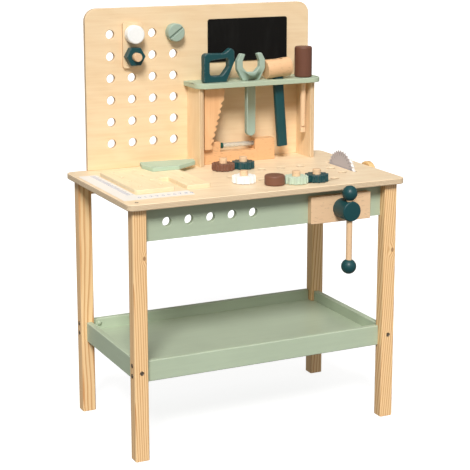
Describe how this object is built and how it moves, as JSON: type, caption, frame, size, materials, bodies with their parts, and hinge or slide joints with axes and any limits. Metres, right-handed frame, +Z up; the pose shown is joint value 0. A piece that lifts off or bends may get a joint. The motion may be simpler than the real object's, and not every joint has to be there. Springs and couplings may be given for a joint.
{
  "type": "toy workbench",
  "caption": "Wooden toy workbench with perforated back board, tool rack with hanging tools, screw vise, toothed wheels on pegs, saw disc and an open storage tray.",
  "frame": {"origin": "centre of the overall box, at floor level", "axes": "+Z up, -Y towards the child at the front, +X to the right as seen from the front"},
  "size_m": [0.604, 0.3925, 0.828],
  "materials": {
    "plywood": "clear lacquered birch plywood, satin",
    "pine": "clear lacquered pine, satin",
    "beech": "clear lacquered beech, satin",
    "sage_paint": "sage green painted wood, eggshell",
    "petrol_paint": "petrol blue painted wood, eggshell",
    "brown_paint": "terracotta brown painted wood, eggshell",
    "white_paint": "white painted wood, eggshell",
    "grey_paint": "grey painted plywood, eggshell",
    "chalk_black": "matte black chalkboard paint on hardboard",
    "white_print": "matte white print",
    "screw_metal": "dark bronze plated",
    "clear_tube": "clear plastic, glossy",
    "green_bead": "dark green, glossy"
  },
  "bodies": {
    "bench": {"tabletop": "plywood", "leg_front_left": "pine", "leg_front_right": "pine", "leg_rear_left": "pine", "leg_rear_right": "pine", "front_apron": "sage_paint", "rear_rail": "pine", "tray_floor": "sage_paint", "tray_rim_front": "sage_paint", "tray_rim_rear": "sage_paint", "tray_rims_side": "sage_paint", "back_board": "plywood", "chalkboard": "chalk_black", "rack_shelf": "sage_paint", "rack_sides": "plywood", "ruler": "white_print", "top_screws": "screw_metal", "frame_screws": "screw_metal", "strip": "plywood", "nut_bolt": "beech", "vise_nut": "beech", "saw_brackets": "beech"},
    "board_body": {"hole_board": "plywood"},
    "plate_body": {"sage_plate": "sage_paint"},
    "white_screw_body": {"white_screw": "white_paint", "white_screw_nut": "white_paint"},
    "sage_screw_body": {"sage_screw": "sage_paint", "sage_screw_nut": "sage_paint"},
    "hex_nut_body": {"hex_nut": "petrol_paint"},
    "handsaw_body": {"handsaw_handle": "petrol_paint", "handsaw_blade": "plywood"},
    "wrench_body": {"wrench": "sage_paint"},
    "hammer_body": {"hammer_head": "beech", "hammer_handle": "petrol_paint"},
    "screwdriver_body": {"screwdriver_handle": "brown_paint", "screwdriver_shaft": "beech"},
    "level_body": {"level_block": "beech", "level_tube": "clear_tube", "level_bead": "green_bead"},
    "cap_body": {"brown_cap": "brown_paint"},
    "jaw_body": {"vise_jaw": "beech", "vise_guides": "beech"},
    "screw_body": {"vise_spindle": "beech", "vise_grip": "petrol_paint"},
    "bar_body": {"vise_bar": "beech", "vise_balls": "petrol_paint"},
    "saw_body": {"saw_disc": "grey_paint", "saw_axle": "beech", "saw_wheel": "beech"},
    "peg_brown_body": {"peg_brown": "beech"},
    "gear_brown_body": {"gear_brown": "brown_paint"},
    "peg_petrol_body": {"peg_petrol": "beech"},
    "gear_petrol_body": {"gear_petrol": "petrol_paint"},
    "peg_white_body": {"peg_white": "beech"},
    "gear_white_body": {"gear_white": "white_paint"},
    "peg_sage_body": {"peg_sage": "beech"},
    "gear_sage_body": {"gear_sage": "sage_paint"},
    "peg_second_body": {"peg_second": "beech"},
    "gear_second_body": {"gear_second": "petrol_paint"}
  },
  "joints": [
    {"name": "vise_slide", "type": "slide", "parent": "bench", "child": "jaw_body", "axis": [0, -1, 0], "range_m": [0, 0.0401]},
    {"name": "vise_turn", "type": "hinge", "parent": "jaw_body", "child": "screw_body", "pos_m": [0.1495, -0.15925, 0.45], "axis": [0, -1, 0], "range_deg": [0, 1440]},
    {"name": "vise_bar_slide", "type": "slide", "parent": "screw_body", "child": "bar_body", "axis": [0, 0, 1], "range_m": [0, 0.07]},
    {"name": "saw_spin", "type": "hinge", "parent": "bench", "child": "saw_body", "pos_m": [0.233, -0.00675, 0.48], "axis": [1, 0, 0], "continuous": true},
    {"name": "peg_brown_lift", "type": "slide", "parent": "bench", "child": "peg_brown_body", "axis": [0, 0, 1], "range_m": [0, 0.03]},
    {"name": "gear_brown_spin", "type": "hinge", "parent": "peg_brown_body", "child": "gear_brown_body", "pos_m": [-0.005, 0.06475, 0.508], "axis": [0, 0, 1], "continuous": true},
    {"name": "peg_petrol_lift", "type": "slide", "parent": "bench", "child": "peg_petrol_body", "axis": [0, 0, 1], "range_m": [0, 0.03]},
    {"name": "gear_petrol_spin", "type": "hinge", "parent": "peg_petrol_body", "child": "gear_petrol_body", "pos_m": [0.0405, 0.06475, 0.508], "axis": [0, 0, 1], "continuous": true},
    {"name": "peg_white_lift", "type": "slide", "parent": "bench", "child": "peg_white_body", "axis": [0, 0, 1], "range_m": [0, 0.03]},
    {"name": "gear_white_spin", "type": "hinge", "parent": "peg_white_body", "child": "gear_white_body", "pos_m": [-0.024, -0.06975, 0.508], "axis": [0, 0, 1], "continuous": true},
    {"name": "peg_sage_lift", "type": "slide", "parent": "bench", "child": "peg_sage_body", "axis": [0, 0, 1], "range_m": [0, 0.03]},
    {"name": "gear_sage_spin", "type": "hinge", "parent": "peg_sage_body", "child": "gear_sage_body", "pos_m": [0.066, -0.11725, 0.508], "axis": [0, 0, 1], "continuous": true},
    {"name": "peg_second_lift", "type": "slide", "parent": "bench", "child": "peg_second_body", "axis": [0, 0, 1], "range_m": [0, 0.03]},
    {"name": "gear_second_spin", "type": "hinge", "parent": "peg_second_body", "child": "gear_second_body", "pos_m": [0.1115, -0.11725, 0.508], "axis": [0, 0, 1], "continuous": true},
    {"name": "cap_lift", "type": "slide", "parent": "bench", "child": "cap_body", "axis": [0, 0, 1], "range_m": [0, 0.03]},
    {"name": "board_lift", "type": "slide", "parent": "bench", "child": "board_body", "axis": [0, 0, 1], "range_m": [0, 0.04]},
    {"name": "plate_lift", "type": "slide", "parent": "board_body", "child": "plate_body", "axis": [0, 0, 1], "range_m": [0, 0.04]},
    {"name": "white_screw_turn", "type": "hinge", "parent": "bench", "child": "white_screw_body", "pos_m": [-0.158, 0.15075, 0.775], "axis": [0, -1, 0], "continuous": true},
    {"name": "sage_screw_turn", "type": "hinge", "parent": "bench", "child": "sage_screw_body", "pos_m": [-0.066, 0.16075, 0.775], "axis": [0, -1, 0], "continuous": true},
    {"name": "hex_nut_turn", "type": "hinge", "parent": "bench", "child": "hex_nut_body", "pos_m": [-0.158, 0.15775, 0.7304], "axis": [0, -1, 0], "continuous": true},
    {"name": "handsaw_lift", "type": "slide", "parent": "bench", "child": "handsaw_body", "axis": [0, 0, 1], "range_m": [0, 0.145]},
    {"name": "wrench_lift", "type": "slide", "parent": "bench", "child": "wrench_body", "axis": [0, 0, 1], "range_m": [0, 0.2]},
    {"name": "hammer_lift", "type": "slide", "parent": "bench", "child": "hammer_body", "axis": [-0.0785, 0, 0.9969], "range_m": [0, 0.15]},
    {"name": "screwdriver_lift", "type": "slide", "parent": "bench", "child": "screwdriver_body", "axis": [0, 0, 1], "range_m": [0, 0.125]},
    {"name": "level_lift", "type": "slide", "parent": "bench", "child": "level_body", "axis": [0, 0, 1], "range_m": [0, 0.1]}
  ],
  "couplings": [
    {"joint": "vise_slide", "follows": "vise_turn", "m_per_rad": 0.0015915},
    {"joint": "gear_petrol_spin", "follows": "gear_brown_spin", "ratio": -1},
    {"joint": "gear_second_spin", "follows": "gear_sage_spin", "ratio": -1}
  ]
}
